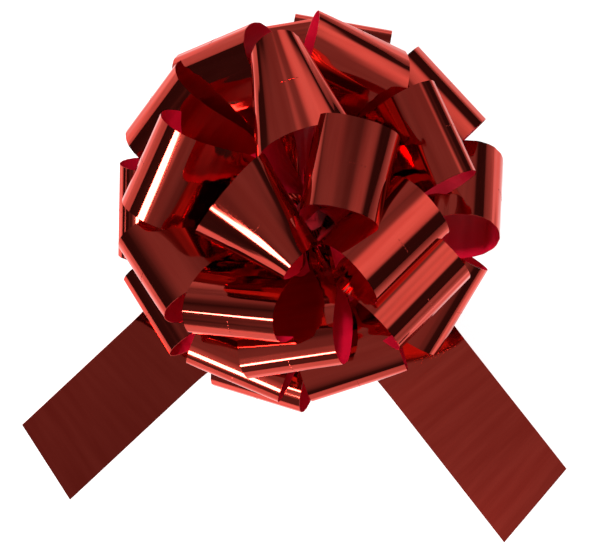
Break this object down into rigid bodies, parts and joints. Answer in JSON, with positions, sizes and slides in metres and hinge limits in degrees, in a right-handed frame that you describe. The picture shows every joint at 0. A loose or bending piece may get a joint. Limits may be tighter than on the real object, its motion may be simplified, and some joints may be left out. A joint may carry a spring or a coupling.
{
  "type": "pre-made gift bow",
  "caption": "Pre-made pull bow: a ball of wide metallic-red ribbon loops welded to a central stack, tied behind, with two wide tails that swing and lift.",
  "frame": {"origin": "on the flat underside, below the axis of the weld stack", "axes": "+Z out of the ball through its crown, -Y towards the side where the tails lie, +X to the right with the tails pointing down"},
  "size_m": [0.2795, 0.2712, 0.1454],
  "materials": {
    "metallised_film": "thin plastic film, mirror-like metallic red on its outer face and satin crimson on its inner face",
    "welded_film": "gathered and welded layers of the same film, satin crimson",
    "pull_ribbon": "narrow satin crimson ribbon"
  },
  "bodies": {
    "bow": {"weld_stack": "welded_film", "pull_ribbon_left": "pull_ribbon", "pull_ribbon_right": "pull_ribbon", "back_knot": "pull_ribbon", "base_tab": "metallised_film", "loop_01": "metallised_film", "loop_02": "metallised_film", "loop_03": "metallised_film", "loop_04": "metallised_film", "loop_05": "metallised_film", "loop_06": "metallised_film", "loop_07": "metallised_film", "loop_08": "metallised_film", "loop_09": "metallised_film", "loop_10": "metallised_film", "loop_11": "metallised_film", "loop_12": "metallised_film", "loop_13": "metallised_film", "loop_14": "metallised_film", "loop_15": "metallised_film", "loop_16": "metallised_film", "loop_17": "metallised_film", "loop_18": "metallised_film", "loop_19": "metallised_film", "loop_20": "metallised_film", "loop_21": "metallised_film", "loop_22": "metallised_film", "loop_23": "metallised_film", "loop_24": "metallised_film", "loop_25": "metallised_film", "loop_26": "metallised_film", "loop_27": "metallised_film", "loop_28": "metallised_film"},
    "tail_left_root": {"tail_left_root": "metallised_film"},
    "tail_left_end": {"tail_left_end": "metallised_film"},
    "tail_right_root": {"tail_right_root": "metallised_film"},
    "tail_right_end": {"tail_right_end": "metallised_film"}
  },
  "joints": [
    {"name": "tail_left_swing", "type": "hinge", "parent": "bow", "child": "tail_left_root", "pos_m": [0, 0, 0.0018], "axis": [0, 0, 1], "range_deg": [-12, 12]},
    {"name": "tail_left_lift", "type": "hinge", "parent": "tail_left_root", "child": "tail_left_end", "pos_m": [-0.07606, -0.07093, 0.01276], "axis": [-0.613, 0.6573, 0.4384], "range_deg": [0, 60]},
    {"name": "tail_right_swing", "type": "hinge", "parent": "bow", "child": "tail_right_root", "pos_m": [0, 0, 0.0026], "axis": [0, 0, 1], "range_deg": [-12, 12]},
    {"name": "tail_right_lift", "type": "hinge", "parent": "tail_right_root", "child": "tail_right_end", "pos_m": [0.06403, -0.08195, 0.00785], "axis": [-0.7646, -0.5974, -0.2419], "range_deg": [0, 60]}
  ]
}
